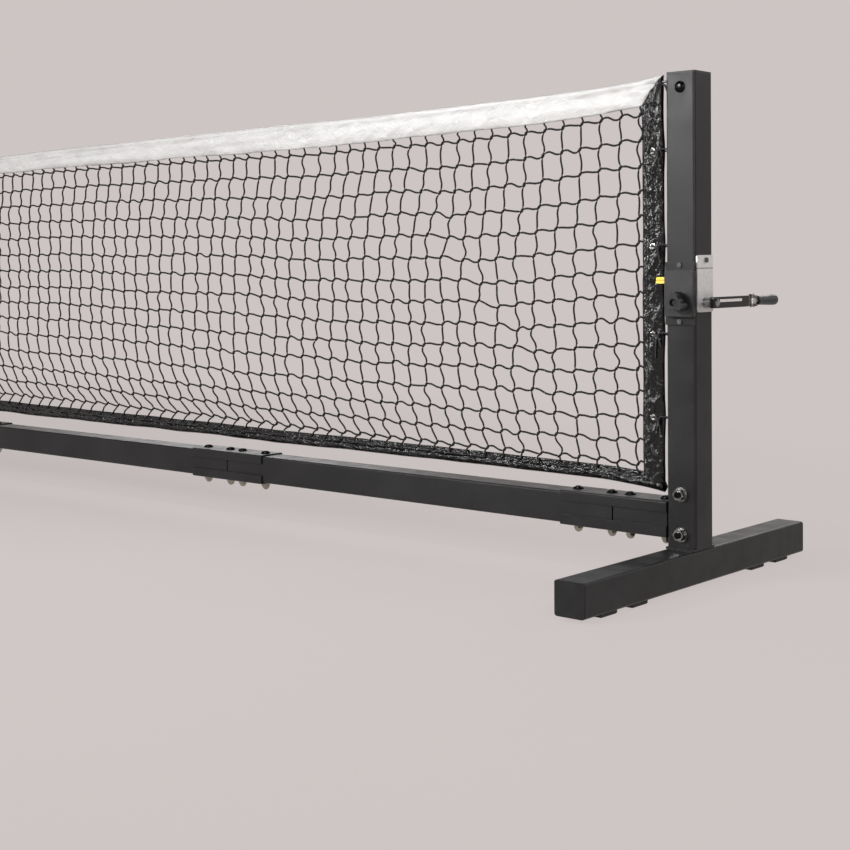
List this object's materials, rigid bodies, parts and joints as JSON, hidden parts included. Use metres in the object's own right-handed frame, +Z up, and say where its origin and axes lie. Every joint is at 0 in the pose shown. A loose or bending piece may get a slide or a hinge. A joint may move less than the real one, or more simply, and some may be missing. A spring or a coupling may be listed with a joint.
{
  "type": "portable pickleball net",
  "caption": "Free-standing court net on square steel posts, feet and a ground beam, with a tape tightened by a folding crank.",
  "frame": {"origin": "on the floor under the middle of the net, half way between the two posts", "axes": "+X along the net towards the post with the crank, +Y across the court to the back, +Z up"},
  "size_m": [6.799, 0.75, 0.925],
  "materials": {
    "black_frame": "fine textured black powder coat",
    "black_hardware": "black oxide, slightly glossy",
    "zinc_hardware": "zinc plated",
    "dark_steel": "dark machined steel",
    "silver_plate": "satin sheet metal",
    "bronze_bush": "oiled sintered bronze",
    "black_plastic": "matt moulded plastic",
    "grip_plastic": "smooth moulded plastic",
    "yellow_plastic": "bright yellow moulded plastic",
    "pad_rubber": "matt black rubber",
    "white_vinyl": "soft white vinyl-coated cloth with sewn edges",
    "black_vinyl": "shiny black vinyl-coated cloth",
    "net_cord": "knotted black cord",
    "black_webbing": "woven black cord and webbing",
    "white_webbing": "woven white webbing",
    "coated_cable": "stranded steel in a dark coat",
    "pulley_nylon": "turned nylon"
  },
  "bodies": {
    "frame_and_net": {"beam_1": "black_frame", "beam_2": "black_frame", "beam_3": "black_frame", "beam_4": "black_frame", "beam_5": "black_frame", "beam_6": "black_frame", "bottom_band": "black_vinyl", "centre_legs": "black_frame", "centre_strap": "white_webbing", "crank_plate": "silver_plate", "foot_caps": "black_plastic", "foot_pads": "pad_rubber", "grommets": "zinc_hardware", "left_foot": "black_frame", "left_post": "black_frame", "left_side_band": "black_vinyl", "leg_plugs": "black_plastic", "net": "net_cord", "net_ties": "black_webbing", "post_bolts": "black_hardware", "post_caps": "black_plastic", "post_nuts": "zinc_hardware", "post_washers": "zinc_hardware", "right_foot": "black_frame", "right_post": "black_frame", "right_side_band": "black_vinyl", "shaft_bushes": "bronze_bush", "splice_bolts": "black_hardware", "splice_bottom_channels": "black_frame", "splice_nuts": "zinc_hardware", "splice_top_channels": "black_frame", "strap_anchor": "black_hardware", "tension_cable": "coated_cable", "tie_eyes": "black_hardware", "top_bolts": "black_hardware", "top_nuts": "zinc_hardware", "top_tape": "white_vinyl", "winch_cover": "black_plastic", "winch_flange": "black_frame", "winch_screws": "zinc_hardware"},
    "crank": {"crank_shaft": "dark_steel", "spool": "dark_steel", "ratchet_wheel": "dark_steel", "wound_cable": "coated_cable", "crank_arm": "black_frame", "grip_clevis": "zinc_hardware", "hinge_pin": "zinc_hardware"},
    "grip_spindle": {"grip_spindle": "zinc_hardware"},
    "grip": {"grip": "grip_plastic"},
    "pawl": {"pawl": "dark_steel", "release_lever": "yellow_plastic"},
    "lock_plunger": {"lock_plunger": "zinc_hardware"},
    "lock_knob": {"lock_knob": "grip_plastic", "lock_stud": "zinc_hardware"},
    "left_level_pad": {"left_level_pad": "pad_rubber"},
    "right_level_pad": {"right_level_pad": "pad_rubber"},
    "left_level_stem": {"left_level_stem": "zinc_hardware"},
    "right_level_stem": {"right_level_stem": "zinc_hardware"},
    "pulley": {"pulley": "pulley_nylon"},
    "strap_slider": {"strap_slider": "black_plastic"}
  },
  "joints": [
    {"name": "crank_turn", "type": "hinge", "parent": "frame_and_net", "child": "crank", "pos_m": [3.353, 0, 0.512], "axis": [1, 0, 0], "continuous": true},
    {"name": "grip_fold", "type": "hinge", "parent": "crank", "child": "grip_spindle", "pos_m": [3.406, 0.131, 0.512], "axis": [0, 0, -1], "range_deg": [0, 90]},
    {"name": "grip_spin", "type": "hinge", "parent": "grip_spindle", "child": "grip", "pos_m": [3.406, 0.148, 0.512], "axis": [0, 1, 0], "continuous": true},
    {"name": "pawl_release", "type": "hinge", "parent": "frame_and_net", "child": "pawl", "pos_m": [3.371, -0.037, 0.552], "axis": [-1, 0, 0], "range_deg": [-4, 1]},
    {"name": "lock_slide", "type": "slide", "parent": "frame_and_net", "child": "lock_plunger", "axis": [0, -1, 0], "range_m": [0, 0.0046]},
    {"name": "lock_turn", "type": "hinge", "parent": "lock_plunger", "child": "lock_knob", "pos_m": [3.362, -0.044, 0.513], "axis": [0, -1, 0], "range_deg": [0, 1080]},
    {"name": "pulley_spin", "type": "hinge", "parent": "frame_and_net", "child": "pulley", "pos_m": [3.353, 0, 0.897], "axis": [0, 1, 0], "continuous": true},
    {"name": "strap_slide", "type": "slide", "parent": "frame_and_net", "child": "strap_slider", "axis": [0, 0, 1], "range_m": [0, 0.05]},
    {"name": "left_level_slide", "type": "slide", "parent": "frame_and_net", "child": "left_level_pad", "axis": [0, 0, 1], "range_m": [-0.007, 0.0078]},
    {"name": "left_level_turn", "type": "hinge", "parent": "left_level_pad", "child": "left_level_stem", "pos_m": [-0.19, 0, 0.02], "axis": [0, 0, 1], "range_deg": [-1440, 1620]},
    {"name": "right_level_slide", "type": "slide", "parent": "frame_and_net", "child": "right_level_pad", "axis": [0, 0, 1], "range_m": [-0.007, 0.0078]},
    {"name": "right_level_turn", "type": "hinge", "parent": "right_level_pad", "child": "right_level_stem", "pos_m": [0.19, 0, 0.02], "axis": [0, 0, 1], "range_deg": [-1440, 1620]}
  ],
  "couplings": [
    {"joint": "lock_slide", "follows": "lock_turn", "m_per_rad": 0.00023873},
    {"joint": "pulley_spin", "follows": "crank_turn", "ratio": 1.2375},
    {"joint": "left_level_turn", "follows": "left_level_slide", "rad_per_m": 3590.4},
    {"joint": "right_level_turn", "follows": "right_level_slide", "rad_per_m": 3590.4}
  ]
}
